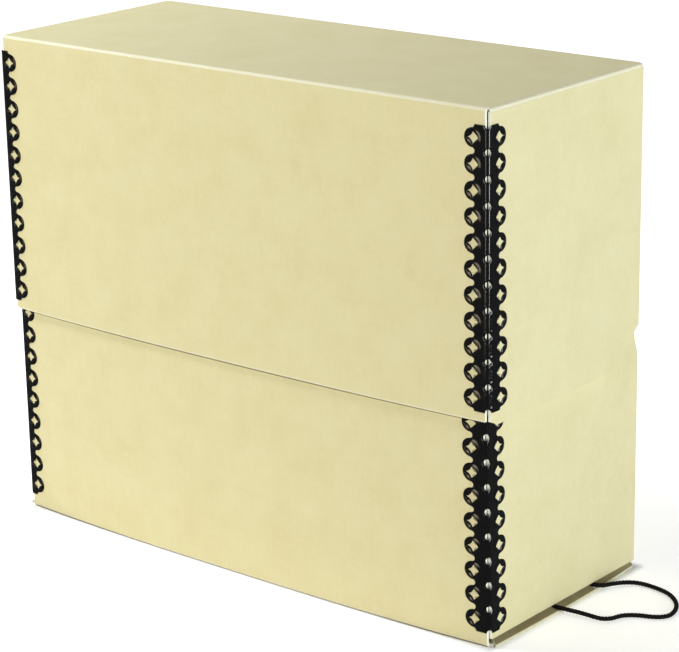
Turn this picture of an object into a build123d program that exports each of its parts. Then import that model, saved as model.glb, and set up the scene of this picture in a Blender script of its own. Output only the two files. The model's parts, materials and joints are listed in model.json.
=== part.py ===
"""Archival box: an upright flip-top document case, folded from one board blank.

Units are millimetres.  The origin is the middle of the footprint on the table.
+X runs along the case to its pull-cord end, +Y to the hinged back, +Z up.
The blank is modelled panel by panel, one node for each panel between its scored folds.
"""
from build123d import *
import os
from math import cos, radians, sin, tan

# ---- driving dimensions -------------------------------------------------------
CASE_LENGTH = 312.7        # over the metal edges of the lid
CASE_DEPTH = 127.35        # back board to front metal edges
CASE_HEIGHT = 260.35       # ten and a quarter inches
BOARD = 1.5                # sixty-point board
METAL = 0.35               # sheet of the metal edges

LID_INSET = 2.8            # board face of the lid's ends to that of the base's ends
LID_FRONT_ROOM = 2.0       # clear space between the two front panels
SKIRT_FRONT_Z = 113.5      # lower edge of the lid's front panel
SKIRT_END_Z = 111.5        # lower edge of the lid's end panels
BASE_WALL_Z = 145.5        # upper edge of the base's walls, inside the lid
HINGE_Z = 128.0            # scored crease across the back
CREASE_GAP = 0.3           # left between the two back panels at the crease
END_WALL_Z = 4.1           # lower edge of the base's end walls: the cord passes under it
BOTTOM_BULGE = 3.0         # how far the bottom's folded ends bow out in the middle
FOLD_RADIUS = 1.2          # outside of a fold
SLIT = 0.1                 # play left where two cut edges meet

FLAP_HEIGHT = 42.0         # tuck flaps, measured from the fold's outside
FLAP_PLAY = 0.2            # tuck flap to the end wall it stands behind

LOBE_PITCH = 12.22         # metal edge: one lobe and one crease hole for each pitch
LOBE_COUNT = 11
LOBE_CENTRE = 8.7          # from the corner to the middle of a lobe
LOBE_RADIUS = 4.6
WAIST = 7.6                # from the corner to the bottom of a notch between lobes
CREASE_HOLE_RADIUS = 1.55
STAR_CENTRE = 8.5          # from the corner to the middle of a star hole
STAR_TIP = 2.9
STAR_WAIST = 1.55
PRONG_WIDTH = 1.4
PRONG_REACH = 1.4          # clinched length on the inside face
LID_EDGE_Z = 185.3         # middle of the lid's metal edges
BASE_EDGE_Z = 74.4         # middle of the base's metal edges

CORD_RADIUS = 1.1
CORD_HOLE_RADIUS = 1.25
CORD_HOLE_Z = 2.8
KNOT_RADIUS = 2.6

# The loop's route, from the middle of one knot to the middle of the other.
CORD_ROUTE = [
    (147.3, -7.6, 2.8),
    (158.2, -7.6, 2.8),
    (170.5, -5.8, 1.95),
    (183.6, -5.3, 1.15),
    (185.9, 8.9, 1.15),
    (206.3, 15.4, 1.15),
    (204.4, 29.6, 1.15),
    (193.0, 41.2, 1.15),
    (180.0, 44.6, 1.15),
    (168.6, 44.1, 1.3),
    (162.0, 36.2, 1.9),
    (158.7, 25.2, 2.8),
    (147.3, 25.2, 2.8),
]

# ---- faces worked out from them ----------------------------------------------
LID_X = CASE_LENGTH / 2 - METAL          # outer face of the lid's ends
BASE_X = LID_X - LID_INSET               # outer face of the base's ends
BACK_Y = CASE_DEPTH / 2                  # outer face of the back
BACK_INNER_Y = BACK_Y - BOARD
LID_FRONT_Y = -CASE_DEPTH / 2 + METAL    # outer face of the lid's front
BASE_FRONT_Y = LID_FRONT_Y + BOARD + LID_FRONT_ROOM
TOP_INNER_Z = CASE_HEIGHT - BOARD

# The notch between two lobes is an arc that runs smoothly into both.
NOTCH_RISE = WAIST - LOBE_CENTRE
NOTCH_RADIUS = (
    (NOTCH_RISE ** 2 + (LOBE_PITCH / 2) ** 2 - LOBE_RADIUS ** 2)
    / (2 * (LOBE_RADIUS - NOTCH_RISE))
)
NOTCH_CENTRE = WAIST + NOTCH_RADIUS
BAND_WIDTH = LOBE_CENTRE + (NOTCH_CENTRE - LOBE_CENTRE) * LOBE_RADIUS / (LOBE_RADIUS + NOTCH_RADIUS)


def block(x_span, y_span, z_span):
    """A rectangular board between three pairs of faces."""
    size = [high - low for low, high in (x_span, y_span, z_span)]
    middle = [(high + low) / 2 for low, high in (x_span, y_span, z_span)]
    return Pos(*middle) * Box(*size)


def end_board(outline, inner_x):
    """A board across the case: its outline is (y, z) points, its inner face is at inner_x."""
    face = Plane.YZ.offset(inner_x) * make_face(Polyline(*outline, close=True))
    return extrude(face, BOARD, dir=(1, 0, 0))


def other_end(shape):
    """The same piece at the opposite end of the case."""
    return mirror(shape, about=Plane.YZ)


def round_folds(shape, pick):
    """Rounds the folded edges that pick(edge's middle) chooses."""
    edges = [edge for edge in shape.edges() if pick(edge.position_at(0.5))]
    return fillet(edges, FOLD_RADIUS)


def near(value, target):
    return abs(value - target) < 0.01


# ---- lid ----------------------------------------------------------------------
def lid_top_panel():
    """Owns the four upper folds of the lid."""
    board = block((-LID_X, LID_X), (LID_FRONT_Y, BACK_Y), (TOP_INNER_Z, CASE_HEIGHT))
    return round_folds(board, lambda p: near(p.Z, CASE_HEIGHT))


def lid_front_panel():
    half = LID_X - BOARD - SLIT
    return block((-half, half), (LID_FRONT_Y, LID_FRONT_Y + BOARD), (SKIRT_FRONT_Z, TOP_INNER_Z))


def lid_back_panel():
    """Carries the two rear folds of the lid."""
    low = HINGE_Z + CREASE_GAP / 2
    board = block((-LID_X, LID_X), (BACK_INNER_Y, BACK_Y), (low, TOP_INNER_Z))
    return round_folds(board, lambda p: near(p.Y, BACK_Y) and near(abs(p.X), LID_X))


def lid_end_panel():
    """Right end of the lid, with the corner by the hinge cut on the slant."""
    front = LID_FRONT_Y + BOARD + SLIT
    return end_board([
        (front, SKIRT_FRONT_Z),
        (front + 4.5, SKIRT_END_Z),
        (37.0, SKIRT_END_Z),
        (BACK_INNER_Y, HINGE_Z + 1.0),
        (BACK_INNER_Y, TOP_INNER_Z),
        (front, TOP_INNER_Z),
    ], LID_X - BOARD)


def flap_outline():
    """Right half of the case's tuck flap as (y, height above the fold's outside)."""
    return [
        (BASE_FRONT_Y + BOARD + 0.8, BOARD),
        (-47.0, 9.0),
        (-43.0, FLAP_HEIGHT),
        (56.0, FLAP_HEIGHT),
        (60.0, 9.0),
        (BACK_INNER_Y - 0.5, BOARD),
    ]


def lid_tuck_flap():
    """Folded down from the lid's top, behind its right end panel."""
    outline = [(y, CASE_HEIGHT - height) for y, height in flap_outline()]
    return end_board(outline, LID_X - 2 * BOARD - FLAP_PLAY)


# ---- base ---------------------------------------------------------------------
def base_bottom_panel():
    """The bottom, whose two folded ends bow out between the corners."""
    corner = BASE_X
    middle_y = (BASE_FRONT_Y + BACK_Y) / 2
    bow = corner + BOTTOM_BULGE
    outline = [
        Line((-corner, BASE_FRONT_Y), (corner, BASE_FRONT_Y)),
        ThreePointArc((corner, BASE_FRONT_Y), (bow, middle_y), (corner, BACK_Y)),
        Line((corner, BACK_Y), (-corner, BACK_Y)),
        ThreePointArc((-corner, BACK_Y), (-bow, middle_y), (-corner, BASE_FRONT_Y)),
    ]
    board = extrude(make_face(outline), BOARD)
    return round_folds(board, lambda p: near(p.Z, 0) and near(p.X, 0))


def base_front_panel():
    half = BASE_X - BOARD - SLIT
    return block((-half, half), (BASE_FRONT_Y, BASE_FRONT_Y + BOARD), (BOARD, BASE_WALL_Z))


def base_back_panel():
    """Carries the two rear folds of the base, up to the crease."""
    high = HINGE_Z - CREASE_GAP / 2
    board = block((-BASE_X, BASE_X), (BACK_INNER_Y, BACK_Y), (BOARD, high))
    return round_folds(board, lambda p: near(p.Y, BACK_Y) and near(abs(p.X), BASE_X))


def base_end_panel():
    """Right end of the base, cut away by the hinge and raised above the bottom."""
    front = BASE_FRONT_Y + BOARD + SLIT
    return end_board([
        (front, END_WALL_Z),
        (BACK_INNER_Y, END_WALL_Z),
        (BACK_INNER_Y, HINGE_Z - 1.0),
        (41.0, BASE_WALL_Z),
        (front, BASE_WALL_Z),
    ], BASE_X - BOARD)


def base_tuck_flap():
    """Folded up from the bottom, behind the right end wall."""
    return end_board(flap_outline(), BASE_X - 2 * BOARD - FLAP_PLAY)


def corded_tuck_flap():
    """The right tuck flap, punched twice beside its fold for the pull cord."""
    flap = base_tuck_flap()
    for end in (CORD_ROUTE[0], CORD_ROUTE[-1]):
        hole = Rot(0, 90, 0) * Cylinder(CORD_HOLE_RADIUS, 20)
        flap -= Pos(BASE_X, end[1], CORD_HOLE_Z) * hole
    return flap


# ---- metal edges --------------------------------------------------------------
def lobe_offsets():
    """Heights of the lobes about the middle of a metal edge."""
    first = -(LOBE_COUNT - 1) / 2
    return [(first + index) * LOBE_PITCH for index in range(LOBE_COUNT)]


def star_hole(height):
    """A four-pointed hole with drawn-in sides."""
    points = []
    for step in range(8):
        reach = STAR_WAIST if step % 2 else STAR_TIP
        angle = radians(45 * step)
        points.append((STAR_CENTRE + reach * cos(angle), height + reach * sin(angle)))
    return make_face(Polyline(*points, close=True))


def leaf_profile(inner_edge):
    """One scalloped leaf, flat: x is the distance from the corner, y the height."""
    length = LOBE_COUNT * LOBE_PITCH
    width = BAND_WIDTH - inner_edge
    profile = Pos(inner_edge + width / 2, 0) * Rectangle(width, length)
    for height in lobe_offsets():
        profile += Pos(LOBE_CENTRE, height) * Circle(LOBE_RADIUS)
    for height in lobe_offsets():
        profile -= star_hole(height)
    for index in range(LOBE_COUNT + 1):
        between = (index - LOBE_COUNT / 2) * LOBE_PITCH
        profile -= Pos(NOTCH_CENTRE, between) * Circle(NOTCH_RADIUS)
        profile -= Pos(0, between) * Circle(CREASE_HOLE_RADIUS)
    return profile


def prong():
    """A prong through the board, clinched outward on the inside face."""
    root = STAR_WAIST + 0.05
    stem = root + METAL
    sheet = METAL / 2
    foot = -(BOARD + METAL)
    outline = [
        (root, sheet),
        (stem, sheet),
        (stem, -BOARD),
        (root + PRONG_REACH, -BOARD),
        (root + PRONG_REACH, foot),
        (root, foot),
    ]
    face = Plane.XZ * make_face(Polyline(*outline, close=True))
    return extrude(face, PRONG_WIDTH / 2, both=True)


def leaf(inner_edge):
    """A leaf with the four prongs of each star; its outer side faces +Z."""
    plate = extrude(leaf_profile(inner_edge), METAL)
    prongs = []
    for height in lobe_offsets():
        for quarter in range(4):
            turn = Rot(0, 0, 45 + 90 * quarter)
            prongs.append(Pos(STAR_CENTRE, height, 0) * turn * prong())
    return plate + prongs


def metal_edge():
    """Both leaves of a right-hand metal edge, the board's corner at its origin."""
    front_plane = Plane(origin=(0, 0, 0), x_dir=(-1, 0, 0), z_dir=(0, -1, 0))
    end_plane = Plane(origin=(0, 0, 0), x_dir=(0, 1, 0), z_dir=(1, 0, 0))
    front_leaf = front_plane.location * leaf(-METAL)
    end_leaf = end_plane.location * leaf(0)
    return front_leaf + end_leaf


# ---- pull cord ----------------------------------------------------------------
def route_radii():
    """The largest arc that the two runs at each point allow."""
    points = [Vector(*point) for point in CORD_ROUTE]
    radii = []
    for before, here, after in zip(points, points[1:], points[2:]):
        shorter = min((here - before).length, (after - here).length)
        turn = (here - before).get_angle(after - here)
        radii.append(0.45 * shorter / tan(radians(turn / 2)))
    return radii


def pull_cord():
    radii = route_radii()
    path = FilletPolyline(*CORD_ROUTE, radius=radii)
    cord = sweep((path ^ 0) * Circle(CORD_RADIUS), path=path)
    tube_volume = Circle(CORD_RADIUS).area * path.length
    print("cord radii", [round(radius, 1) for radius in radii])
    print("cord length", round(path.length, 1), "volume over section x length",
          round(cord.volume / tube_volume, 4))
    return cord


def cord_knot(end):
    """An overhand knot, resting on the bottom just inside its hole."""
    return Pos(end[0], end[1], BOARD + KNOT_RADIUS + 0.05) * Sphere(KNOT_RADIUS)


def build():
    edge = metal_edge()
    lid_edge = Pos(LID_X, LID_FRONT_Y, LID_EDGE_Z) * edge
    base_edge = Pos(BASE_X, BASE_FRONT_Y, BASE_EDGE_Z) * edge
    return {
        "lid_top_panel": lid_top_panel(),
        "lid_front_panel": lid_front_panel(),
        "lid_back_panel": lid_back_panel(),
        "lid_right_end_panel": lid_end_panel(),
        "lid_left_end_panel": other_end(lid_end_panel()),
        "lid_right_tuck_flap": lid_tuck_flap(),
        "lid_left_tuck_flap": other_end(lid_tuck_flap()),
        "lid_metal_edge_right": lid_edge,
        "lid_metal_edge_left": other_end(lid_edge),
        "base_bottom_panel": base_bottom_panel(),
        "base_front_panel": base_front_panel(),
        "base_back_panel": base_back_panel(),
        "base_right_end_panel": base_end_panel(),
        "base_left_end_panel": other_end(base_end_panel()),
        "base_right_tuck_flap": corded_tuck_flap(),
        "base_left_tuck_flap": other_end(base_tuck_flap()),
        "base_metal_edge_right": base_edge,
        "base_metal_edge_left": other_end(base_edge),
        "pull_cord": pull_cord(),
        "cord_knot_front": cord_knot(CORD_ROUTE[0]),
        "cord_knot_rear": cord_knot(CORD_ROUTE[-1]),
    }


os.makedirs("parts", exist_ok=True)
for node, shape in build().items():
    export_step(shape, f"parts/{node}.step")
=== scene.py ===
"""Archival box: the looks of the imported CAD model, an upright flip-top document case.

Lengths are metres, in the CAD frame: +X to the pull-cord end, +Y to the hinged back, +Z up.
The lid and the base are sheets of board, scored, folded and stayed at their front
corners by four black metal edges.  The loaded base has settled: its front and ends stand
out a little.  A twisted cord, knotted inside, pulls the case out.
"""
import json
from math import atan2, ceil, cos, exp, hypot, pi, radians, sin, sqrt, tan

import bpy
from mathutils import Matrix, Vector
from mathutils.geometry import delaunay_2d_cdt


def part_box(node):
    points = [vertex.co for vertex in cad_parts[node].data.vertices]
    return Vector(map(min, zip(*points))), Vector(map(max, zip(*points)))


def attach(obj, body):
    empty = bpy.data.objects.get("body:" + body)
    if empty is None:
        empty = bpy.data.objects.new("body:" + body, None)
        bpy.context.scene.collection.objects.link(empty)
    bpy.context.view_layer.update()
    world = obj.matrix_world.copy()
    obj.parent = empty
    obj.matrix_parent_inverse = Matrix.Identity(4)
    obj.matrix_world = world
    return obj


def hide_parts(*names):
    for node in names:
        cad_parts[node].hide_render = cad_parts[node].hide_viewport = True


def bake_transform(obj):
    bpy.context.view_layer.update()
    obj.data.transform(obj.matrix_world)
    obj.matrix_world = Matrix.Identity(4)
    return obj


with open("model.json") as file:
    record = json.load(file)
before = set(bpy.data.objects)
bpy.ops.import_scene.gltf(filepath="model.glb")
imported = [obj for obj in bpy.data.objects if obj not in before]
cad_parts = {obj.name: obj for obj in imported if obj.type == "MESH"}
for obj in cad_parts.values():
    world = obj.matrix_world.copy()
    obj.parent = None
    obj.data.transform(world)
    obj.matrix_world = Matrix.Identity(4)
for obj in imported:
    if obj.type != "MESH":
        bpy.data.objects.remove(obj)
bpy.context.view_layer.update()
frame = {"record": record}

# ---- sizes, from the frame -----------------------------------------------------
MM = 0.001

top_low, top_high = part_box("lid_top_panel")
LID_X, BACK_Y, TOP_Z = top_high
LID_FRONT_Y = top_low.y
BOARD = top_high.z - top_low.z
SKIRT_FRONT_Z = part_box("lid_front_panel")[0].z
SKIRT_END_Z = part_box("lid_right_end_panel")[0].z
base_end_low, base_end_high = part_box("base_right_end_panel")
BASE_X = base_end_high.x
END_WALL_Z = base_end_low.z
WALL_TOP_Z = base_end_high.z
BASE_FRONT_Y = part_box("base_front_panel")[0].y
BOTTOM_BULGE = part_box("base_bottom_panel")[1].x - BASE_X
BASE_FLAP_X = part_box("base_right_tuck_flap")[1].x
LID_FLAP_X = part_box("lid_right_tuck_flap")[1].x
HINGE_Z = frame["record"]["behaviour"]["joints"][0]["pos_m"][2]
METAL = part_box("lid_metal_edge_right")[1].x - LID_X

# ---- board ---------------------------------------------------------------------
FOLD = 1.7 * MM              # outside radius of a fold
SHELF_FOLD = 0.8 * MM        # tighter folds at the ends of the bottom
SHELF_HEIGHT = 3.1 * MM      # where the tuck flaps turn upright behind the end walls
HIGHLIGHT_EDGE = 0.6 * MM         # painted highlight band along the lid's lower front edge
SHADOW_LINE_DROP = (0.1 * MM, 1.5 * MM)   # painted shadow line on the base, this far below that edge
CREASE_HALF = 1.5 * MM       # half the height of the scored strip at the hinge
CREASE_PRESS = 0.3 * MM      # how deep that strip is pressed in
CREASE_STEPS = 12
SEAM = 0.25 * MM             # gap over the lid's end walls
SLIT = 0.1 * MM              # play where an end wall meets the front
SKIRT_TURN_Y = 37 * MM       # behind this the lid's end walls slope up to the hinge
SKIRT_TOE = 4.5 * MM         # their lower edge meets the front's over this length
WALL_TURN_Y = 41 * MM        # behind this the base's end walls slope down to the hinge
LID_BOW = 4.0 * MM           # the lid's front stands off at the middle of its lower edge
LID_BOW_START = 0.02         # share of the height, from the top, where that begins
LID_END_BOW = 2.0 * MM
LID_END_BOW_START = 0.1
LID_END_BOW_SKEW = 0.7       # below 1, the most is ahead of the middle
LID_END_BOW_ROUND = 0.8
BOW_POWER = 2.6              # how square the bows of both fronts are along the case
EDGE_BEVEL = 0.3 * MM
FOLD_STEPS = 8
FLAT_NORMAL = 0.985          # a face less in line than this with every axis is in a fold
WRAP_COLUMNS = 56
WALL_STEP = 4 * MM           # about the length of an end wall's faces
CLOSE = 1e-6                 # heights and depths nearer than this are the same

# ---- tuck flaps ----------------------------------------------------------------
FLAP_HEIGHT = 42 * MM
FLAP_SHOULDER = 9 * MM       # from the fold to where the taper eases
FLAP_FRONT_Y = (-47 * MM, -43 * MM)   # at the shoulder and at the free edge
FLAP_BACK_Y = (60 * MM, 56 * MM)
FLAP_BEND = 1.2 * MM         # radius where a flap turns upright
LID_SHELF_FOLD = 1.1 * MM
LID_SHELF_HEIGHT = 5.5 * MM

# ---- where the base's folds carry the painted highlight and the painted shade ----
FOOT_SHADE_Z = 0.65 * MM      # the front's fold has painted shade below this: a dark contact line
SHELF_HIGHLIGHT_Z = 1.5 * MM      # folds have the painted highlight below this
SLOT_DEPTH = 3 * MM          # and further in than this from the tuck flaps' faces; the rest get painted shade

# ---- board colours: darkest, middle and palest; the core has no middle ----------
BUFF_TONES = (0.742, 0.662, 0.348), (0.784, 0.712, 0.400), (0.812, 0.750, 0.445)
# painted highlight: the folds and a band along the lid's lower front edge
HIGHLIGHT_TONES = (0.815, 0.765, 0.510), (0.860, 0.820, 0.575), (0.890, 0.855, 0.630)
# painted shade: the slot under the end walls, a line under the lid's front edge, the front's foot
SHADE_TONES = (0.250, 0.200, 0.090), (0.330, 0.275, 0.135), (0.400, 0.345, 0.185)
CORE_TONES = (0.870, 0.850, 0.660), (0.960, 0.950, 0.840)

# ---- how the loaded base has settled: its ends lean out downwards, its front bellies ----
SETTLED_RIGHT_FRONT = 2.4 * MM
SETTLED_RIGHT_BACK = 2.6 * MM
SETTLED_LEFT = 1.2 * MM
SETTLED_FRONT = 1.1 * MM     # all along the front, below the lid
SETTLED_BELLY = 4.7 * MM     # further out at the middle of the front, at every height
SETTLED_LEAN_Z = 110 * MM    # the right end's front corner leans out from here down
SETTLED_LOW_Z = 112 * MM     # its back and the left end: full below this, none above the next
SETTLED_HIGH_Z = 126 * MM

# ---- metal edges: flat sizes in millimetres, measured from the corner ----------
LOBE_PITCH = 12.22
LOBE_COUNT = 11
LOBE_CENTRE = 8.7
LOBE_RADIUS = 4.6
WAIST = 7.6
CREASE_HOLE = 1.7
STAR_CENTRE = 8.5
STAR_REACH = (3.0, 2.75)     # across and along the edge
STAR_POWERS = (0.62, 0.9)    # how drawn-in its outline is: towards the lobe and the corner
STAR_SIDES = 40
RING_RADIUS = 3.35           # crest of the dished ring round a star
RING_RISE = 0.3
RING_WIDTH = 0.7
EDGE_SOFT = 0.4              # the outer skin rounds down over this width at its edges
ROLL_WIDTH = 0.75            # and sinks round a star over this width
ROLL_DEPTH = 0.55
TUCK_WIDTH = 0.5             # the inner skin turns into the board over this width
TUCK_DEPTH = 0.4
RING_SHARES = (0.12, 0.3, 0.5, 0.75, 1.0, 1.3)   # rings of points; the crest is at 1
RING_SIDES = 36
EDGE_INSETS = (0.14, 0.38)   # bands of points along the edges
FILL_STEP = (0.95, 0.84)     # points over the rest, in staggered rows
FILL_SHIFT = 0.45
INSIDE_BY = 0.09             # inner points are at least this far inside the outline
APART_SQUARED = 0.035        # and this far apart, squared
BEND = 1.5 * MM              # inside radius of the edge's own fold
LEFT_SLIP = 2.6              # the left edges sit this far round the corner

# ---- pull cord -----------------------------------------------------------------
CORD_DIAMETER = 2.2 * MM
CORD_EXIT = (151.5 * MM, -7.6 * MM, 2.8 * MM)
CORD_HOLES_Y = (-7.6 * MM, 25.2 * MM)
CORD_HOLE_RADIUS = 1.25 * MM
HOLE_SIDES = 24
HOLE_CUT = (-4 * MM, 9 * MM)   # along X from the cord's exit, through the flap's fold
STRANDS = 3
LAY_LENGTH = 5.4 * MM
DRAWN_CORD = CORD_DIAMETER * 1.1    # the diameter that its strands are wound to
DRAWN_KNOT = CORD_DIAMETER * 0.82   # pulled tighter in the knots
KNOT_SIZE = 0.66 * MM
KNOT_STEPS = 60
KNOT_START = 0.2             # radians along the closed knot
KNOT_SHARE = 0.93            # of it that is drawn, so that its ends stay apart
TAIL_STEPS = 6
CORD_ROUTE = [               # millimetres
    (147.3, -7.6, 2.8),
    (158.2, -7.6, 2.8),
    (170.5, -5.8, 2.6),
    (183.6, -5.0, 1.9),
    (185.9, 8.9, 1.3),
    (204.6, 15.4, 1.3),
    (202.9, 29.6, 1.3),
    (192.4, 41.2, 1.3),
    (180.0, 44.6, 1.3),
    (168.6, 44.1, 1.45),
    (162.0, 36.2, 1.9),
    (158.7, 25.2, 2.8),
    (147.3, 25.2, 2.8),
]

# ---- floor ---------------------------------------------------------------------
FLOOR_HALF = 6.0
FLOOR_GLOW = 0.56
GLOW_REACH = 5 * MM          # the glow is full this far from the case's foot; nearer, its fade paints a contact shadow
FOOT_MARGIN = 3 * MM         # about how far the settled foot stands out to the front and right

# ---- camera: angles in degrees, lens in millimetres ----------------------------
CAMERA_PLACE = (0.7868, -0.9284, 0.4934)
CAMERA_HEADING = 39.70
CAMERA_DOWN = 17.26
CAMERA_ROLL = -1.03
CAMERA_LENS = 131.2


# ================================ small tools ====================================
def smooth(value, low=0.0, high=1.0):
    """0 below low, 1 above high, and an even curve between them."""
    t = min(1.0, max(0.0, (value - low) / (high - low)))
    return t * t * (3 - 2 * t)


def interpolated(x, points):
    """The value at x of the straight runs between (x, value) points."""
    if x <= points[0][0]:
        return points[0][1]
    for (x0, y0), (x1, y1) in zip(points, points[1:]):
        if x <= x1:
            return y0 + (y1 - y0) * (x - x0) / (x1 - x0)
    return points[-1][1]


def add_piece(name, vertices, faces, materials, smooth_angle=35):
    """A mesh object whose shading breaks at edges sharper than smooth_angle degrees."""
    mesh = bpy.data.meshes.new(name)
    mesh.from_pydata([tuple(v) for v in vertices], [], faces)
    mesh.validate()
    for polygon in mesh.polygons:
        polygon.use_smooth = True
    mesh.set_sharp_from_angle(angle=radians(smooth_angle))
    for material in materials:
        mesh.materials.append(material)
    piece = bpy.data.objects.new(name, mesh)
    bpy.context.scene.collection.objects.link(piece)
    return piece


def settled(point):
    """A point of the base, moved as the loaded base has settled."""
    low = 1 - smooth(point.z, SETTLED_LOW_Z, SETTLED_HIGH_Z)
    back = min(1, max(0, (point.y - BASE_FRONT_Y) / (BACK_Y - BASE_FRONT_Y)))
    lean = max(0, 1 - point.z / SETTLED_LEAN_Z)
    right = SETTLED_RIGHT_FRONT * lean * (1 - back) + SETTLED_RIGHT_BACK * low * back
    along = (point.x + BASE_X) / (2 * BASE_X)
    shift = right * along - SETTLED_LEFT * low * (1 - along)
    belly = SETTLED_BELLY * max(0, 1 - abs(point.x / BASE_X) ** BOW_POWER)
    under_lid = smooth(point.z, SKIRT_FRONT_Z, WALL_TOP_Z)
    out = (SETTLED_FRONT * (1 - under_lid) + belly) * (1 - back)
    return Vector((point.x + shift, point.y - out, point.z))


def finish_piece(piece, body, nodes):
    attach(piece, body)
    if nodes:
        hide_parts(*nodes)


# ================================ materials ======================================
class Nodes:
    """A short way to write a material's nodes."""

    def __init__(self, name):
        self.material = bpy.data.materials.new(name)
        self.material.use_nodes = True
        self.tree = self.material.node_tree
        self.shader = self.tree.nodes["Principled BSDF"]

    def add(self, kind, inputs=None, **settings):
        node = self.tree.nodes.new("ShaderNode" + kind)
        for key, value in settings.items():
            setattr(node, key, value)
        for key, value in (inputs or {}).items():
            if isinstance(value, bpy.types.NodeSocket):
                self.tree.links.new(value, node.inputs[key])
            else:
                node.inputs[key].default_value = value
        return node

    def place(self, scale):
        """The piece's own coordinates, times scale along each axis."""
        where = self.add("TexCoord").outputs["Object"]
        return self.add("Mapping", {"Vector": where, "Scale": scale}).outputs["Vector"]

    def noise(self, scale, detail=3.0, roughness=0.55, stretch=(1, 1, 1)):
        node = self.add("TexNoise", {
            "Vector": self.place(stretch),
            "Scale": scale,
            "Detail": detail,
            "Roughness": roughness,
        })
        return node.outputs["Fac"]

    def maths(self, operation, first, second):
        return self.add("Math", {0: first, 1: second}, operation=operation).outputs[0]

    def ramp(self, factor, stops):
        node = self.add("ValToRGB", {"Fac": factor})
        elements = node.color_ramp.elements
        while len(elements) < len(stops):
            elements.new(0.5)
        for element, (position, colour) in zip(elements, stops):
            element.position = position
            element.color = (*colour, 1)
        return node.outputs["Color"]

    def mix(self, factor, first, second):
        node = self.add("Mix", {0: factor, 6: first, 7: second}, data_type="RGBA")
        return node.outputs[2]

    def bump(self, height, distance, strength=1.0):
        node = self.add("Bump", {"Height": height, "Distance": distance, "Strength": strength})
        self.tree.links.new(node.outputs["Normal"], self.shader.inputs["Normal"])

    def drive(self, **sockets):
        for key, value in sockets.items():
            self.tree.links.new(value, self.shader.inputs[key.replace("_", " ")])

    def hold(self, **sockets):
        for key, value in sockets.items():
            self.shader.inputs[key.replace("_", " ")].default_value = value


def board_surface(name, tones):
    """Smooth solid board: faint clouds, short fibres and a slight tooth."""
    low, middle, high = tones
    m = Nodes(name)
    clouds = m.noise(48, detail=6, roughness=0.65)
    flecks = m.noise(750, detail=5, roughness=0.7)
    fibres = m.noise(420, detail=2, stretch=(0.16, 0.16, 1.5))
    across = m.noise(380, detail=2, stretch=(1.5, 1.5, 0.2))
    grain = m.maths("ADD", m.maths("MULTIPLY", fibres, 0.5), m.maths("MULTIPLY", across, 0.5))
    tone = m.maths("ADD", m.maths("MULTIPLY", clouds, 0.62), m.maths("MULTIPLY", flecks, 0.38))
    body = m.ramp(tone, [(0.34, low), (0.50, middle), (0.66, high)])
    streaked = m.ramp(grain, [(0.30, low), (0.50, middle), (0.70, high)])
    m.drive(Base_Color=m.mix(0.22, body, streaked))
    m.hold(Roughness=0.5, Specular_IOR_Level=0.35)
    tooth = m.maths("ADD", m.maths("MULTIPLY", flecks, 0.6), m.maths("MULTIPLY", grain, 0.4))
    m.bump(tooth, 0.05 * MM, 0.5)
    return m.material


def buff_board():
    return board_surface("buff_board", BUFF_TONES)


def folded_board():
    """The same board made paler as a painted highlight, on the folds and along the lid's lower
    front edge.
    """
    return board_surface("folded_board", HIGHLIGHT_TONES)


def soiled_board():
    """The same board darkened as painted shade: in the slot under the end walls, in a line under
    the lid's front edge and along the front's foot.
    """
    return board_surface("soiled_board", SHADE_TONES)


def board_core():
    """The cut edge of the board: paler and rougher than its faces."""
    m = Nodes("board_core")
    plies = m.noise(900, detail=3, roughness=0.7)
    m.drive(Base_Color=m.ramp(plies, list(zip((0.30, 0.70), CORE_TONES))))
    m.hold(Roughness=0.9, Specular_IOR_Level=0.2)
    m.bump(plies, 0.06 * MM, 0.8)
    return m.material


def black_metal():
    """Gloss black enamel on thin steel."""
    m = Nodes("black_metal")
    patches = m.noise(300, detail=2)
    orange_peel = m.noise(1600, detail=2)
    m.drive(Base_Color=m.ramp(patches, [
        (0.3, (0.0010, 0.0010, 0.0013)),
        (0.7, (0.0022, 0.0021, 0.0024)),
    ]))
    m.drive(Roughness=m.maths("ADD", m.maths("MULTIPLY", patches, 0.08), 0.1))
    m.hold(Specular_IOR_Level=0.55)
    m.bump(orange_peel, 0.01 * MM, 0.5)
    return m.material


def black_cord():
    """Matte black spun thread."""
    m = Nodes("black_cord")
    fibre = m.noise(2600, detail=3, roughness=0.7)
    m.drive(Base_Color=m.ramp(fibre, [
        (0.3, (0.0035, 0.0032, 0.0030)),
        (0.7, (0.0190, 0.0175, 0.0165)),
    ]))
    m.hold(Roughness=0.9, Specular_IOR_Level=0.2)
    m.bump(fibre, 0.12 * MM, 0.8)
    return m.material


BUFF = buff_board()
PAINTED_HIGHLIGHT = folded_board()
PAINTED_SHADE = soiled_board()
CORE = board_core()
BLACK_METAL = black_metal()
BLACK_CORD = black_cord()

# The materials of a board piece, and their numbers on it.
BOARD_MATERIALS = [BUFF, CORE, PAINTED_HIGHLIGHT, PAINTED_SHADE]
ON_BUFF, ON_CORE, ON_PAINTED_HIGHLIGHT, ON_PAINTED_SHADE = range(4)


# ================================ pull cord ======================================
def cord_line():
    """Points of the smooth curve through the cord's route."""
    curve = bpy.data.curves.new("cord_route", "CURVE")
    curve.dimensions = "3D"
    curve.resolution_u = 16
    spline = curve.splines.new("NURBS")
    spline.points.add(len(CORD_ROUTE) - 1)
    for point, place in zip(spline.points, CORD_ROUTE):
        point.co = (*(Vector(place) * MM), 1)
    spline.order_u = 3
    spline.use_endpoint_u = True
    route = bpy.data.objects.new("cord_route", curve)
    mesh = bpy.data.meshes.new_from_object(route)
    points = [v.co.copy() for v in mesh.vertices]
    bpy.data.meshes.remove(mesh)
    bpy.data.curves.remove(curve)
    return points


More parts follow.
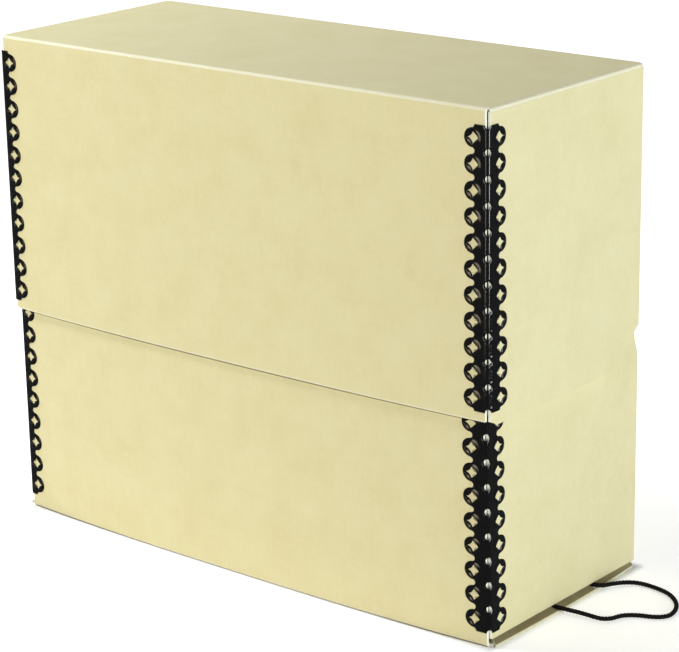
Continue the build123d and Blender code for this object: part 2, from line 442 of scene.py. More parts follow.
def carried_frames(points):
    """A side and an up direction at each point, turned no more than the line turns."""
    frames = []
    up = Vector((0, 0, 1))
    for index, point in enumerate(points):
        before = points[max(index - 1, 0)]
        after = points[min(index + 1, len(points) - 1)]
        along = (after - before).normalized()
        up = (up - along * up.dot(along)).normalized()
        frames.append((along.cross(up), up))
    return frames


def resampled(points, step):
    """Points about step apart along the same line."""
    lengths = [0.0]
    for a, b in zip(points, points[1:]):
        lengths.append(lengths[-1] + (b - a).length)
    count = max(2, ceil(lengths[-1] / step))
    made = []
    index = 0
    for k in range(count + 1):
        target = lengths[-1] * k / count
        while index < len(points) - 2 and lengths[index + 1] < target:
            index += 1
        span = max(lengths[index + 1] - lengths[index], 1e-12)
        made.append(points[index].lerp(points[index + 1], (target - lengths[index]) / span))
    return made


def twisted(points, diameter, strands, lay, sides=9):
    """Vertices and faces of a rope: round strands wound about the line of points."""
    winding = diameter / 2 / (1 + 1 / sin(pi / strands)) / sin(pi / strands)
    thick = diameter / 2 - winding
    line = resampled(points, lay / 12)
    frames = carried_frames(line)
    step = (line[1] - line[0]).length
    vertices, faces = [], []
    for strand in range(strands):
        centres = []
        for index, (point, (side, up)) in enumerate(zip(line, frames)):
            turn = 2 * pi * (index * step / lay + strand / strands)
            centres.append(point + (side * cos(turn) + up * sin(turn)) * winding)
        first = len(vertices)
        for point, (side, up) in zip(centres, carried_frames(centres)):
            for k in range(sides):
                angle = 2 * pi * k / sides
                vertices.append(point + (side * cos(angle) + up * sin(angle)) * thick)
        for ring in range(len(centres) - 1):
            for k in range(sides):
                a = first + ring * sides + k
                b = first + ring * sides + (k + 1) % sides
                faces.append((a, b, b + sides, a + sides))
        last = first + (len(centres) - 1) * sides
        faces.append(tuple(range(first, first + sides))[::-1])
        faces.append(tuple(range(last, last + sides)))
    return vertices, faces


def knot_line(centre, inward):
    """An overhand knot drawn tight, with its tail pointing into the case."""
    points = []
    for k in range(KNOT_STEPS + 1):
        t = 2 * pi * k / KNOT_STEPS * KNOT_SHARE + KNOT_START
        sideways = (sin(t) + 2 * sin(2 * t)) * KNOT_SIZE
        height = (cos(t) - 2 * cos(2 * t)) * KNOT_SIZE
        depth = -sin(3 * t) * KNOT_SIZE * 1.1
        points.append(centre + Vector((depth * inward, sideways, height)))
    tail = points[-1]
    for k in range(1, TAIL_STEPS + 1):
        points.append(tail + Vector((inward * k * 1.0, 0.35 * k, -0.04 * k * k)) * MM)
    return points


def pull_cord():
    line = cord_line()
    mesh = twisted(line, DRAWN_CORD, STRANDS, LAY_LENGTH)
    piece = add_piece("pull_cord_loop", *mesh, [BLACK_CORD], 60)
    finish_piece(piece, "base", ["pull_cord"])
    for node in ("cord_knot_front", "cord_knot_rear"):
        low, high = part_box(node)
        centre = settled((low + high) / 2)
        mesh = twisted(knot_line(centre, -1), DRAWN_KNOT, STRANDS, LAY_LENGTH, sides=7)
        knot = add_piece(node + "_tied", *mesh, [BLACK_CORD], 60)
        finish_piece(knot, "base", [node])


# ================================ folded board ===================================
class Sheet:
    """A folded board: quads on its outer skin, each point with a twin on the inner skin."""

    def __init__(self):
        self.outer = []
        self.inner = []
        self.quads = []

    def number(self, point):
        """A point is an (outer, inner) pair, or the number of one that is there already."""
        if isinstance(point, int):
            return point
        self.outer.append(point[0])
        self.inner.append(point[1])
        return len(self.outer) - 1

    def grid(self, rows, flip=False):
        numbers = [[self.number(point) for point in row] for row in rows]
        for low, high in zip(numbers, numbers[1:]):
            for a, b, c, d in zip(low, low[1:], high[1:], high):
                self.quads.append((d, c, b, a) if flip else (a, b, c, d))
        return numbers

    def piece(self, name, soft_rim, surface):
        """Closes the skins with a rim, softened where soft_rim(point) is true.

        surface(centre, normal) gives the material of a face of the skins.
        """
        count = len(self.outer)
        faces = list(self.quads)
        faces += [tuple(i + count for i in reversed(quad)) for quad in self.quads]
        directed = {pair for quad in self.quads for pair in zip(quad, quad[1:] + quad[:1])}
        rim = sorted(pair for pair in directed if pair[::-1] not in directed)
        first_rim = len(faces)
        faces += [(b, a, a + count, b + count) for a, b in rim]
        piece = add_piece(name, self.outer + self.inner, faces, BOARD_MATERIALS)
        mesh = piece.data
        for polygon in mesh.polygons[:first_rim]:
            polygon.material_index = surface(polygon.center, polygon.normal)
        for polygon in mesh.polygons[first_rim:]:
            polygon.material_index = ON_CORE
        soft = {frozenset(pair) for pair in rim if all(soft_rim(self.outer[i]) for i in pair)}
        soft |= {frozenset(i + count for i in pair) for pair in soft}
        weights = mesh.attributes.new("bevel_weight_edge", "FLOAT", "EDGE")
        for edge in mesh.edges:
            if frozenset(edge.vertices) in soft:
                weights.data[edge.index].value = 1.0
        bevel = piece.modifiers.new("soft rim", "BEVEL")
        bevel.limit_method = "WEIGHT"
        bevel.width = EDGE_BEVEL
        bevel.segments = 2
        bevel.material = ON_CORE
        return piece


def is_flat(normal):
    return max(abs(part) for part in normal) > FLAT_NORMAL


def rounded_path(corners, radii, counts):
    """(point, right-hand normal) pairs along straight runs joined by arcs.

    radii gives one radius for each inner corner, counts the steps of each run.
    """
    corners = [Vector(corner) for corner in corners]
    headings = [(b - a).normalized() for a, b in zip(corners, corners[1:])]
    normals = [Vector((h.y, -h.x)) for h in headings]
    turns = [a.angle_signed(b) for a, b in zip(headings, headings[1:])]
    cuts = [radius * tan(abs(turn) / 2) for turn, radius in zip(turns, radii)]
    path = []
    for run, count in enumerate(counts):
        start = corners[run] + headings[run] * (cuts[run - 1] if run else 0)
        end = corners[run + 1] - headings[run] * (cuts[run] if run < len(cuts) else 0)
        for k in range(count + 1):
            path.append((start.lerp(end, k / max(count, 1)), normals[run]))
        if run == len(turns):
            break
        if radii[run] == 0:
            path.pop()
            continue
        arm = normals[run] * (radii[run] if turns[run] > 0 else -radii[run])
        for k in range(1, FOLD_STEPS):
            spin = Matrix.Rotation(-turns[run] * k / FOLD_STEPS, 2)
            path.append((end + arm - spin @ arm, spin @ normals[run]))
    return path


def across(path, half_width, bow=None):
    """Rows of a wrap whose (y, z) path is swept along the case."""
    rows = []
    for place, normal in path:
        half = half_width(place)
        row = []
        for k in range(WRAP_COLUMNS + 1):
            x = half * (2 * k / WRAP_COLUMNS - 1)
            out = bow(x, place) if bow else 0
            outer = Vector((x, place.x - out, place.y))
            inner = outer + Vector((0, normal.x, normal.y)) * BOARD
            row.append((outer, inner))
        rows.append(row)
    return rows


def lid_front_bow(x, z):
    """How far the lid's front stands off: most at the middle of its lower edge."""
    down = smooth((TOP_Z - z) / (TOP_Z - SKIRT_FRONT_Z), LID_BOW_START, 1.0)
    return LID_BOW * down * (1 - abs(x / LID_X) ** BOW_POWER)


def lid_end_bow(y, z):
    """How far the lid's end walls stand off along their lower edge."""
    down = smooth((TOP_Z - z) / (TOP_Z - SKIRT_END_Z), LID_END_BOW_START, 1.0)
    back = min(max((y - LID_FRONT_Y) / (BACK_Y - LID_FRONT_Y), 0), 1)
    return LID_END_BOW * down * sin(pi * back ** LID_END_BOW_SKEW) ** LID_END_BOW_ROUND


def edge_points(sheet, numbers, side, low, high, axis):
    """The wrap's points along one side between two values of axis, in rising order."""
    column = [row[-1 if side > 0 else 0] for row in numbers]
    found = [(sheet.outer[n][axis], n) for n in column if low <= sheet.outer[n][axis] <= high]
    return sorted(found)


def fractions_of(joint):
    first, last = joint[0][0], joint[-1][0]
    return [(value - first) / (last - first) for value, _ in joint]


def end_wall(sheet, side, joint, face_x, front, lower, upper, bow=None):
    """An end wall folded forward from the back along joint.

    lower and upper give its edges' heights as (depth from the back, z) points.
    """
    depth = BACK_Y - front
    stops = sorted({x for x, _ in lower + upper if FOLD < x < depth})
    corners = [(face_x - FOLD, 0), (face_x, 0)]
    corners += [(face_x, stop) for stop in stops + [depth]]
    lengths = [b[1] - a[1] for a, b in zip(corners[1:], corners[2:])]
    counts = [0] + [max(1, round(length / WALL_STEP)) for length in lengths]
    path = rounded_path(corners, [FOLD] + [0] * len(stops), counts)
    rows = []
    for (_, number), fraction in zip(joint, fractions_of(joint)):
        row = [number]
        for place, normal in path[1:]:
            low = interpolated(place.y, lower)
            z = low + (interpolated(place.y, upper) - low) * fraction
            y = BACK_Y - place.y
            out = bow(y, z) if bow and place.y > FOLD else 0
            outer = Vector((side * (place.x + out), y, z))
            inner = Vector((side * (place.x + out - normal.x * BOARD), y + normal.y * BOARD, z))
            row.append((outer, inner))
        rows.append(row)
    sheet.grid(rows, flip=side > 0)


def leaning_path(reach, flat_x, flap_x, fold, bend_height):
    """Section of a fold that bulges out to reach and leans back in behind an end wall."""
    corner = reach
    for _ in range(20):
        lean = atan2(corner - flap_x, bend_height)
        corner = reach - fold + fold * tan((pi / 2 + lean) / 2)
    corners = [(flat_x, 0), (corner, 0), (flap_x, bend_height), (flap_x, FLAP_HEIGHT)]
    return rounded_path(corners, [fold, FLAP_BEND], [1, 4, 12])


def tuck_flap(sheet, side, joint, reach, flat_x, flap_x, fold, bend_height, height_of, flip):
    """A tuck flap folded over along joint, tapered towards its free edge.

    reach and flat_x are functions of y; height_of turns a distance from the fold into z.
    """
    first, last = joint[0][0], joint[-1][0]
    stations = (BOARD, FLAP_SHOULDER, FLAP_HEIGHT)
    front_edge = list(zip(stations, (first, *FLAP_FRONT_Y)))
    back_edge = list(zip(stations, (last, *FLAP_BACK_Y)))
    rows = []
    for (value, number), fraction in zip(joint, fractions_of(joint)):
        row = [number]
        section = leaning_path(reach(value), flat_x(value), flap_x, fold, bend_height)
        for place, normal in section[1:]:
            low = interpolated(place.y, front_edge)
            y = low + (interpolated(place.y, back_edge) - low) * fraction
            inner_x = place.x - normal.x * BOARD
            inner_z = height_of(place.y - normal.y * BOARD)
            outer = Vector((side * place.x, y, height_of(place.y)))
            inner = Vector((side * inner_x, y, inner_z))
            row.append((outer, inner))
        rows.append(row)
    sheet.grid(rows, flip=flip)


def lid_shell():
    """Front, top and back in one wrap, with the end walls and tuck flaps folded on."""
    sheet = Sheet()
    low_back = HINGE_Z + CREASE_HALF
    highlight_z = SKIRT_FRONT_Z + HIGHLIGHT_EDGE
    corners = [
        (LID_FRONT_Y, SKIRT_FRONT_Z),
        (LID_FRONT_Y, highlight_z),
        (LID_FRONT_Y, TOP_Z),
        (BACK_Y, TOP_Z),
        (BACK_Y, low_back),
    ]
    path = rounded_path(corners, [0, FOLD, FOLD], [1, 24, 26, 22])
    flat_half = LID_X - FOLD

    def bow(x, place):
        return lid_front_bow(x, place.y) if place.x < 0 else 0

    numbers = sheet.grid(across(path, lambda place: flat_half, bow))
    top_of_back = TOP_Z - FOLD
    back_rows = [row for row in numbers if sheet.outer[row[0]].y > BACK_Y - CLOSE]
    top_rows = [row for row in numbers if sheet.outer[row[0]].z > TOP_Z - CLOSE]
    front = LID_FRONT_Y + BOARD + SLIT
    lower = [
        (FOLD, low_back),
        (BACK_Y - SKIRT_TURN_Y, SKIRT_END_Z),
        (BACK_Y - front - SKIRT_TOE, SKIRT_END_Z),
        (BACK_Y - front, SKIRT_FRONT_Z),
    ]
    upper = [(FOLD, top_of_back), (FOLD + MM, TOP_Z - BOARD - SEAM)]
    for side in (1, -1):
        joint = edge_points(sheet, back_rows, side, low_back - CLOSE, top_of_back + CLOSE, 2)
        end_wall(sheet, side, joint, LID_X, front, lower, upper, lid_end_bow)
        joint = edge_points(sheet, top_rows, side, -1, 1, 1)
        tuck_flap(sheet, side, joint, lambda y: LID_X, lambda y: flat_half, LID_FLAP_X,
                  LID_SHELF_FOLD, LID_SHELF_HEIGHT, lambda down: TOP_Z - down, flip=side < 0)

    # Folds and the band along the lower front edge get the painted highlight.
    def surface(centre, normal):
        # painted highlight band along the lower front edge
        if centre.z < highlight_z and centre.y < LID_FRONT_Y + MM:
            return ON_PAINTED_HIGHLIGHT
        return ON_BUFF if is_flat(normal) or centre.z < TOP_Z - 2 * FOLD else ON_PAINTED_HIGHLIGHT

    piece = sheet.piece("lid_shell", lambda p: p.z > low_back + CLOSE, surface)
    finish_piece(piece, "lid", [
        "lid_top_panel", "lid_front_panel", "lid_back_panel",
        "lid_right_end_panel", "lid_left_end_panel",
        "lid_right_tuck_flap", "lid_left_tuck_flap",
    ])


def bottom_bulge(y):
    """How far the bottom's folded ends bow out at y."""
    middle = (BASE_FRONT_Y + BACK_Y) / 2
    half = (BACK_Y - BASE_FRONT_Y) / 2 - FOLD
    share = (y - middle) / half
    return BOTTOM_BULGE * max(0, 1 - share ** 2 * (0.25 if share < 0 else 1))


def base_shell():
    """Back, bottom and front in one wrap, with the end walls and tuck flaps folded on."""
    sheet = Sheet()
    high_back = HINGE_Z - CREASE_HALF
    # the rows of a painted shadow line just under the lid's front edge
    shadow_line_high, shadow_line_low = (SKIRT_FRONT_Z - drop for drop in SHADOW_LINE_DROP)
    corners = [
        (BACK_Y, high_back),
        (BACK_Y, END_WALL_Z),
        (BACK_Y, 0),
        (BASE_FRONT_Y, 0),
        (BASE_FRONT_Y, shadow_line_low),
        (BASE_FRONT_Y, shadow_line_high),
        (BASE_FRONT_Y, WALL_TOP_Z),
    ]
    path = rounded_path(corners, [0, FOLD, FOLD, 0, 0], [22, 1, 48, 20, 1, 6])
    flat_half = BASE_X - FOLD

    def half_width(place):
        return flat_half + (bottom_bulge(place.x) if place.y < CLOSE else 0)

    numbers = sheet.grid(across(path, half_width))
    back_rows = [row for row in numbers if sheet.outer[row[0]].y > BACK_Y - CLOSE]
    bottom_rows = [row for row in numbers if sheet.outer[row[0]].z < CLOSE]
    front = BASE_FRONT_Y + BOARD + SLIT
    lower = [(FOLD, END_WALL_Z)]
    upper = [(FOLD, high_back), (BACK_Y - WALL_TURN_Y, WALL_TOP_Z)]
    for side in (1, -1):
        joint = edge_points(sheet, back_rows, side, END_WALL_Z - CLOSE, 1, 2)
        end_wall(sheet, side, joint, BASE_X, front, lower, upper)
        joint = edge_points(sheet, bottom_rows, side, -1, 1, 1)
        tuck_flap(sheet, side, joint, lambda y: BASE_X + bottom_bulge(y),
                  lambda y: flat_half + bottom_bulge(y), BASE_FLAP_X, SHELF_FOLD,
                  SHELF_HEIGHT, lambda up: up, flip=side > 0)
    sheet.outer = [settled(point) for point in sheet.outer]
    sheet.inner = [settled(point) for point in sheet.inner]

    # Paints shade: a shadow line under the lid's front edge, the front's foot and the slot under
    # the end walls; the other folds get the painted highlight.
    def surface(centre, normal):
        if shadow_line_low < centre.z < shadow_line_high and normal.y < -0.9:
            return ON_PAINTED_SHADE
        if is_flat(normal) or centre.z > SHELF_HEIGHT + MM:
            return ON_BUFF
        # painted contact shade along the foot of the front's fold
        if centre.z < FOOT_SHADE_Z and normal.y < -0.3:
            return ON_PAINTED_SHADE
        # painted highlight on the lowest folds and on folds away from the slot
        pale = centre.z < SHELF_HIGHLIGHT_Z or abs(centre.x) < BASE_FLAP_X - SLOT_DEPTH
        return ON_PAINTED_HIGHLIGHT if pale else ON_PAINTED_SHADE

    def soft_rim(point):
        return point.z < high_back - CLOSE or point.y < BACK_Y - FOLD

    piece = sheet.piece("base_shell", soft_rim, surface)
    pierce(piece, [Vector((CORD_EXIT[0], y, CORD_EXIT[2])) for y in CORD_HOLES_Y])
    finish_piece(piece, "base", [
        "base_bottom_panel", "base_front_panel", "base_back_panel",
        "base_right_end_panel", "base_left_end_panel",
        "base_right_tuck_flap", "base_left_tuck_flap",
    ])


def pierce(piece, centres):
    """Round holes along X through a board piece, with pale cut walls."""
    cutters = []
    for number, centre in enumerate(centres):
        turns = [2 * pi * k / HOLE_SIDES for k in range(HOLE_SIDES)]
        ring = [(CORD_HOLE_RADIUS * cos(turn), CORD_HOLE_RADIUS * sin(turn)) for turn in turns]
        vertices = [centre + Vector((x, y, z)) for x in HOLE_CUT for y, z in ring]
        faces = []
        for k in range(HOLE_SIDES):
            after = (k + 1) % HOLE_SIDES
            faces.append((k, after, HOLE_SIDES + after, HOLE_SIDES + k))
        faces.append(tuple(reversed(range(HOLE_SIDES))))
        faces.append(tuple(range(HOLE_SIDES, 2 * HOLE_SIDES)))
        cutter = add_piece(f"cord_hole_cutter_{number}", vertices, faces, [CORE])
        cutters.append(cutter)
        cut = piece.modifiers.new(cutter.name, "BOOLEAN")
        cut.object = cutter
        cut.solver = "EXACT"
        cut.material_mode = "TRANSFER"
    bpy.context.view_layer.update()
    graph = bpy.context.evaluated_depsgraph_get()
    pierced = bpy.data.meshes.new_from_object(piece.evaluated_get(graph))
    pierced.set_sharp_from_angle(angle=radians(35))
    piece.modifiers.clear()
    piece.data = pierced
    for cutter in cutters:
        bpy.data.objects.remove(cutter)


def hinge_crease():
    """The scored strip of the back between the two shells, where the lid turns; it is built
    straight and does not bend.
    """
    sheet = Sheet()
    rows = []
    for k in range(CREASE_STEPS + 1):
        z = HINGE_Z + CREASE_HALF * (1 - 2 * k / CREASE_STEPS)
        press = CREASE_PRESS * sin(pi * k / CREASE_STEPS) ** 2
        row = []
        for j in range(WRAP_COLUMNS + 1):
            x = (BASE_X - FOLD) * (2 * j / WRAP_COLUMNS - 1)
            row.append((Vector((x, BACK_Y - press, z)), Vector((x, BACK_Y - BOARD - press, z))))
        rows.append(row)
    sheet.grid(rows)
    piece = sheet.piece("hinge_crease", lambda p: False, lambda centre, normal: ON_BUFF)
    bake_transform(piece)


# ================================ metal edges ====================================
HALF_PITCH = LOBE_PITCH / 2
NOTCH_RISE = WAIST - LOBE_CENTRE
NOTCH_RADIUS = (
    (NOTCH_RISE ** 2 + HALF_PITCH ** 2 - LOBE_RADIUS ** 2) / (2 * (LOBE_RADIUS - NOTCH_RISE))
)
NOTCH_CENTRE = WAIST + NOTCH_RADIUS
TOWARD_LOBE = atan2(HALF_PITCH, LOBE_CENTRE - NOTCH_CENTRE)
BAND_END = LOBE_CENTRE + LOBE_RADIUS * cos(pi - TOWARD_LOBE)
SHEET = METAL / MM


def arc(centre, radius, start, end, steps):
    angles = [start + (end - start) * k / steps for k in range(steps + 1)]
    return [(centre[0] + radius * cos(a), centre[1] + radius * sin(a)) for a in angles]


def star_reach(angle, outward):
    """Distance from a star's middle to its drawn-in outline; sharper on the lobe's side."""
    power = STAR_POWERS[0 if outward else 1]
    across_part = abs(cos(angle)) / STAR_REACH[0]
    along_part = abs(sin(angle)) / STAR_REACH[1]
    return (across_part ** power + along_part ** power) ** (-1 / power)


def star_gap(u, v):
    """How far a point is outside its star hole, measured from the hole's middle."""
    across_part = abs(u) - STAR_CENTRE
    angle = atan2(v, across_part)
    return hypot(across_part, v) - star_reach(angle, across_part > 0)


def side_gap(u, v):
    """How far a point is inside the scalloped outline."""
    reach = abs(u)
    lobe = LOBE_RADIUS - hypot(reach - LOBE_CENTRE, v)
    if reach > BAND_END:
        return lobe
    notch = min(hypot(reach - NOTCH_CENTRE, v - s * HALF_PITCH) for s in (1, -1)) - NOTCH_RADIUS
    return max(lobe, notch)


def hole_gap(u, v):
    return min(hypot(u, v - s * HALF_PITCH) for s in (1, -1)) - CREASE_HOLE


def scallop():
    """One pitch of the outline on the +u side, from notch to notch."""
    low = arc((NOTCH_CENTRE, -HALF_PITCH), NOTCH_RADIUS, pi, TOWARD_LOBE, 7)
    lobe = arc((LOBE_CENTRE, 0), LOBE_RADIUS, TOWARD_LOBE - pi, pi - TOWARD_LOBE, 26)
    high = arc((NOTCH_CENTRE, HALF_PITCH), NOTCH_RADIUS, -TOWARD_LOBE, -pi, 7)
    return low + lobe[1:-1] + high


def cell_loops():
    """Closed outlines of one pitch of the flat metal edge: its border and its two stars."""
    right = scallop()
    left = [(-u, v) for u, v in reversed(right)]
    cut = [WAIST + (CREASE_HOLE - WAIST) * k / 8 for k in range(1, 8)]
    border = right + [(u, HALF_PITCH) for u in cut]
    border += arc((0, HALF_PITCH), CREASE_HOLE, 0, -pi, 12)
    border += [(-u, HALF_PITCH) for u in reversed(cut)] + left
    border += [(-u, -HALF_PITCH) for u in cut]
    border += arc((0, -HALF_PITCH), CREASE_HOLE, pi, 0, 12)
    border += [(u, -HALF_PITCH) for u in reversed(cut)]
    loops = [border]
    for side in (1, -1):
        star = []
        for k in range(STAR_SIDES):
            angle = 2 * pi * k / STAR_SIDES
            reach = star_reach(angle, cos(angle) > 0)
            star.append((side * (STAR_CENTRE + reach * cos(angle)), reach * sin(angle)))
        loops.append(star)
    return loops


def inner_points(taken):
    """Points inside one pitch: rings round the stars, bands along the edges, bend columns."""
    wanted = []
    for side in (1, -1):
        for share in RING_SHARES:
            for k in range(RING_SIDES):
                angle = 2 * pi * k / RING_SIDES
                reach = star_reach(angle, cos(angle) > 0)
                ring = reach + (RING_RADIUS - reach) * share
                wanted.append((side * (STAR_CENTRE + ring * cos(angle)), ring * sin(angle)))
        for inset in EDGE_INSETS:
            band = arc((LOBE_CENTRE, 0), LOBE_RADIUS - inset, -1.5, 1.5, 26)
            for s in (1, -1):
                end = s * -TOWARD_LOBE + (2 * pi if s > 0 else 0)
                band += arc((NOTCH_CENTRE, s * HALF_PITCH), NOTCH_RADIUS + inset, pi, end, 7)
            wanted += [(side * u, v) for u, v in band]
    for s in (1, -1):
        for inset in EDGE_INSETS:
            wanted += arc((0, s * HALF_PITCH), CREASE_HOLE + inset, 0, -s * pi, 12)
    bend = BEND / MM
    for column in range(-4, 5):
        wanted += [(bend * column / 4, v * 0.8) for v in range(-7, 8)]
    for i in range(-14, 15):
        for j in range(-7, 8):
            shift = FILL_SHIFT if j % 2 else 0
            wanted.append((i * FILL_STEP[0] + shift, j * FILL_STEP[1]))
    kept = list(taken)
    added = []
    for u, v in wanted:
        gap = min(side_gap(u, v), hole_gap(u, v), star_gap(u, v), HALF_PITCH - abs(v))
        if gap > INSIDE_BY and all((u - a) ** 2 + (v - b) ** 2 > APART_SQUARED for a, b in kept):
            kept.append((u, v))
            added.append((u, v))
    return added


def cell_mesh():
    """Points and triangles of one pitch, flat."""
    loops = cell_loops()
    points = [point for loop in loops for point in loop]
    edges = []
    first = 0
    for loop in loops:
        edges += [(first + k, first + (k + 1) % len(loop)) for k in range(len(loop))]
        first += len(loop)
    points += inner_points(points)
    made = delaunay_2d_cdt([Vector(p) for p in points], edges, [], 1, 1e-5)
    sources = [numbers[0] for numbers in made[3]]
    triangles = []
    for face in made[2]:
        face = [sources[i] for i in face]
        u = sum(points[i][0] for i in face) / 3
        v = sum(points[i][1] for i in face) / 3
        if min(side_gap(u, v), hole_gap(u, v), star_gap(u, v)) > -0.002:
            triangles.append(face)
    return points, triangles


def top_height(u, v):
    """Height of the metal's outer skin over the board: soft edges, a dished ring, a rolled star."""
    edge = min(side_gap(u, v), hole_gap(u, v))
    soft = sqrt(max(0, 1 - (1 - min(1, max(0, edge) / EDGE_SOFT)) ** 2))
    ring = hypot(abs(u) - STAR_CENTRE, v) - RING_RADIUS
    crest = RING_RISE * exp(-(ring / RING_WIDTH) ** 2)
    roll = (1 - min(1, max(0, star_gap(u, v)) / ROLL_WIDTH)) ** 2
    return SHEET * (0.25 + 0.75 * soft) + crest * smooth(edge, 0, 1.0) - ROLL_DEPTH * roll


def low_height(u, v):
    """Height of its inner skin, which turns into the board round a star."""
    return -TUCK_DEPTH * (1 - min(1, max(0, star_gap(u, v)) / TUCK_WIDTH)) ** 2


def prong(star_v, side, quarter):
    """Flat-sheet vertices and faces of a prong, driven through and clinched on the inside."""
    angle = radians(45 + 90 * quarter)
    depth = BOARD / MM
    spine = [(1.55, 0.0), (1.5, -0.5 * depth), (1.55, -depth), (1.75, -depth - 0.28),
             (2.3, -depth - 0.34), (2.9, -depth - 0.16)]
    widths = [1.7, 1.6, 1.45, 1.25, 0.9, 0.3]
    sheet = SHEET * 0.8
    vertices, faces = [], []
    for (reach, height), width in zip(spine, widths):
        clinched = height <= -depth
        for thick in (0, sheet):
            for half in (-width / 2, width / 2):
                out = reach + (0 if clinched else thick)
                down = height - thick + sheet if clinched else height
                u = STAR_CENTRE + out * cos(angle) - half * sin(angle)
                vertices.append((side * u, star_v + out * sin(angle) + half * cos(angle), down))
    for k in range(len(spine) - 1):
        a = 4 * k
        for p, q in ((0, 1), (1, 3), (3, 2), (2, 0)):
            faces.append((a + p, a + q, a + 4 + q, a + 4 + p))
    faces.append((0, 2, 3, 1))
    last = 4 * (len(spine) - 1)
    faces.append((last, last + 1, last + 3, last + 2))
    return vertices, faces


CELL = cell_mesh()


def metal_edge(name, node, side, corner_x, corner_y, slip, bows, settle):
    """One edge: the flat sheet with its prongs, bent round the board's front corner."""
    low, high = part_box(node)
    middle_z = (low.z + high.z) / 2
    points, triangles = CELL
    index, flat = {}, []
    faces = []
    for cell in range(LOBE_COUNT):
        base_v = (cell - (LOBE_COUNT - 1) / 2) * LOBE_PITCH
        numbers = []
        for u, v in points:
            key = (round(u, 4), round(v + base_v, 4))
            if key not in index:
                index[key] = len(flat)
                flat.append((u, v + base_v, top_height(u, v), low_height(u, v)))
            numbers.append(index[key])
        faces += [tuple(numbers[i] for i in triangle) for triangle in triangles]
    count = len(flat)
    directed = {pair for f in faces for pair in zip(f, f[1:] + f[:1])}
    rim = sorted(pair for pair in directed if pair[::-1] not in directed)
    skin = [(u, v, top) for u, v, top, _ in flat] + [(u, v, bottom) for u, v, _, bottom in flat]
    faces += [tuple(i + count for i in reversed(face)) for face in faces]
    faces += [(b, a, a + count, b + count) for a, b in rim]
    for cell in range(LOBE_COUNT):
        star_v = (cell - (LOBE_COUNT - 1) / 2) * LOBE_PITCH
        for leaf in (1, -1):
            for quarter in range(4):
                vertices, quads = prong(star_v, leaf, quarter)
                faces += [tuple(i + len(skin) for i in quad) for quad in quads]
                skin += vertices

    def bent(u, v, w):
        u, w, z = (u + slip) * MM, w * MM, middle_z + v * MM
        turn = radians(45) * (1 - min(1, max(-1, u / BEND)))
        normal = Vector((cos(turn), -sin(turn)))
        if u > BEND:
            x, y = corner_x, corner_y + u
        elif u < -BEND:
            x, y = corner_x + u, corner_y
        else:
            x, y = corner_x - BEND + BEND * normal.x, corner_y + BEND + BEND * normal.y
        front_bow, end_bow = bows
        x += normal.x * w + (end_bow(y, z) if u > BEND else 0)
        y += normal.y * w - (front_bow(x, z) if u < -BEND else 0)
        place = Vector((side * x, y, z))
        return settled(place) if settle else place

    piece = add_piece(name, [bent(*p) for p in skin], [f if side > 0 else f[::-1] for f in faces],
                      [BLACK_METAL], 50)
    finish_piece(piece, node.split("_")[0], [node])


def no_bow(*place):
    return 0


def metal_edges():
    for side, end, slip in ((1, "right", 0), (-1, "left", LEFT_SLIP)):
        metal_edge("lid_corner_stay_" + end, "lid_metal_edge_" + end, side, LID_X, LID_FRONT_Y,
                   slip, (lid_front_bow, lid_end_bow), False)
        metal_edge("base_corner_stay_" + end, "base_metal_edge_" + end, side, BASE_X, BASE_FRONT_Y,
                   slip, (no_bow, no_bow), True)


# ================================ studio =========================================
def floor():
    size = FLOOR_HALF
    piece = add_piece("studio_floor", [
        (-size, -size, 0), (size, -size, 0), (size, size, 0), (-size, size, 0),
    ], [(0, 1, 2, 3)], [pale_floor()])
    piece.visible_glossy = False


def pale_floor():
    """White, glowing a little so that it stays white, and fading out against the foot of the case
    to paint a contact shadow there.
    """
    m = Nodes("pale_floor")
    where = m.add("SeparateXYZ", {0: m.add("TexCoord").outputs["Object"]})
    foot_low = Vector((-BASE_X, BASE_FRONT_Y - FOOT_MARGIN))
    foot_high = Vector((BASE_X + FOOT_MARGIN, BACK_Y))
    gaps = []
    for axis in (0, 1):
        middle = (foot_low[axis] + foot_high[axis]) / 2
        half = (foot_high[axis] - foot_low[axis]) / 2
        offset = m.maths("ABSOLUTE", m.maths("SUBTRACT", where.outputs[axis], middle), 0.0)
        gap = m.maths("MAXIMUM", m.maths("SUBTRACT", offset, half), 0.0)
        gaps.append(m.maths("MULTIPLY", gap, gap))
    distance = m.maths("SQRT", m.maths("ADD", *gaps), 0.0)
    # the glow fades to nothing at the foot: a painted contact shadow
    glow = m.maths("MINIMUM", m.maths("DIVIDE", distance, GLOW_REACH), 1.0)
    m.drive(Emission_Strength=m.maths("MULTIPLY", glow, FLOOR_GLOW))
    m.hold(Emission_Color=(1, 1, 1, 1))
    m.hold(Base_Color=(0.95, 0.95, 0.95, 1), Roughness=0.8, Specular_IOR_Level=0.1)
    return m.material


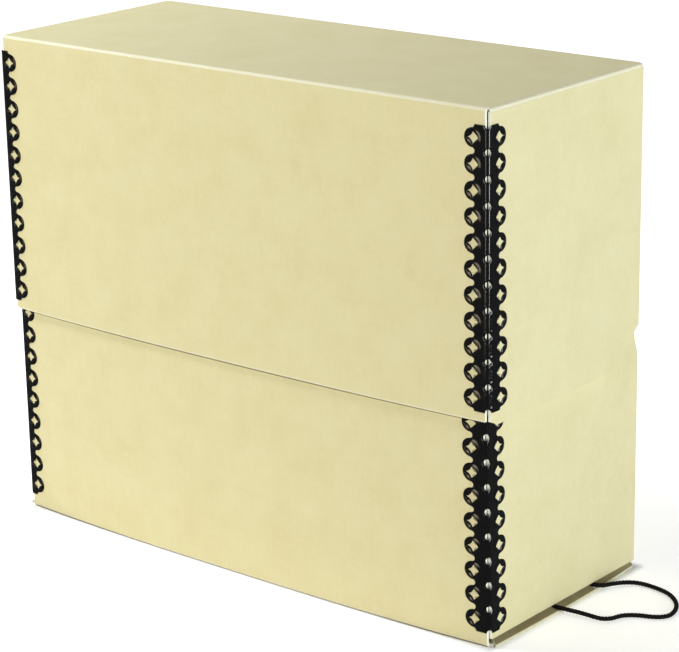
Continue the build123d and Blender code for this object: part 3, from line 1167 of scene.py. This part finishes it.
def soft_light(name, place, aim, size, power, colour):
    data = bpy.data.lights.new(name, "AREA")
    data.shape = "RECTANGLE"
    data.size, data.size_y = size
    data.energy = power
    data.color = colour
    light = bpy.data.objects.new(name, data)
    light.location = place
    light.rotation_euler = (Vector(aim) - Vector(place)).to_track_quat("-Z", "Y").to_euler()
    bpy.context.scene.collection.objects.link(light)


# name, place, aim, size, power and colour; the first two reach below the floor, because
# that is where the upright metal edges mirror them
LAMPS = [
    ("key_left", (-0.42, -2.2, 0.27), (0.1, 0, 0.27), (0.5, 1.47), 10, (1.0, 0.86, 0.62)),
    ("fill_right", (2.36, -0.02, 0.27), (0.1, 0, 0.27), (0.6, 1.47), 42, (0.82, 0.90, 1.0)),
    ("top_left", (-0.64, -0.2, 0.74), (-0.05, 0, 0.26), (0.4, 0.4), 4.0, (0.86, 0.93, 1.0)),
    ("edge_light", (-0.9, -0.5, 1.37), (0, 0, 0.26), (0.35, 0.35), 9.0, (1, 1, 1)),
    ("floor_back", (-0.9, 1.4, 1.3), (-0.9, 1.4, 0), (1.2, 1.2), 8, (1, 1, 1)),
]
WORLD_STRENGTH = 0.15


def studio():
    scene = bpy.context.scene
    scene.view_settings.view_transform = "Standard"
    world = bpy.data.worlds.new("studio")
    world.use_nodes = True
    background = world.node_tree.nodes["Background"]
    background.inputs["Color"].default_value = (1, 1, 1, 1)
    background.inputs["Strength"].default_value = WORLD_STRENGTH
    scene.world = world
    for lamp in LAMPS:
        soft_light(*lamp)

    data = bpy.data.cameras.new("camera")
    data.lens = CAMERA_LENS
    data.clip_end = 50
    camera = bpy.data.objects.new("camera", data)
    turn = Matrix.Rotation(radians(CAMERA_HEADING), 4, "Z")
    tilt = Matrix.Rotation(radians(90 - CAMERA_DOWN), 4, "X")
    roll = Matrix.Rotation(radians(CAMERA_ROLL), 4, "Z")
    camera.matrix_world = Matrix.Translation(CAMERA_PLACE) @ turn @ tilt @ roll
    scene.collection.objects.link(camera)
    scene.camera = camera


pull_cord()
lid_shell()
base_shell()
hinge_crease()
metal_edges()
floor()
studio()
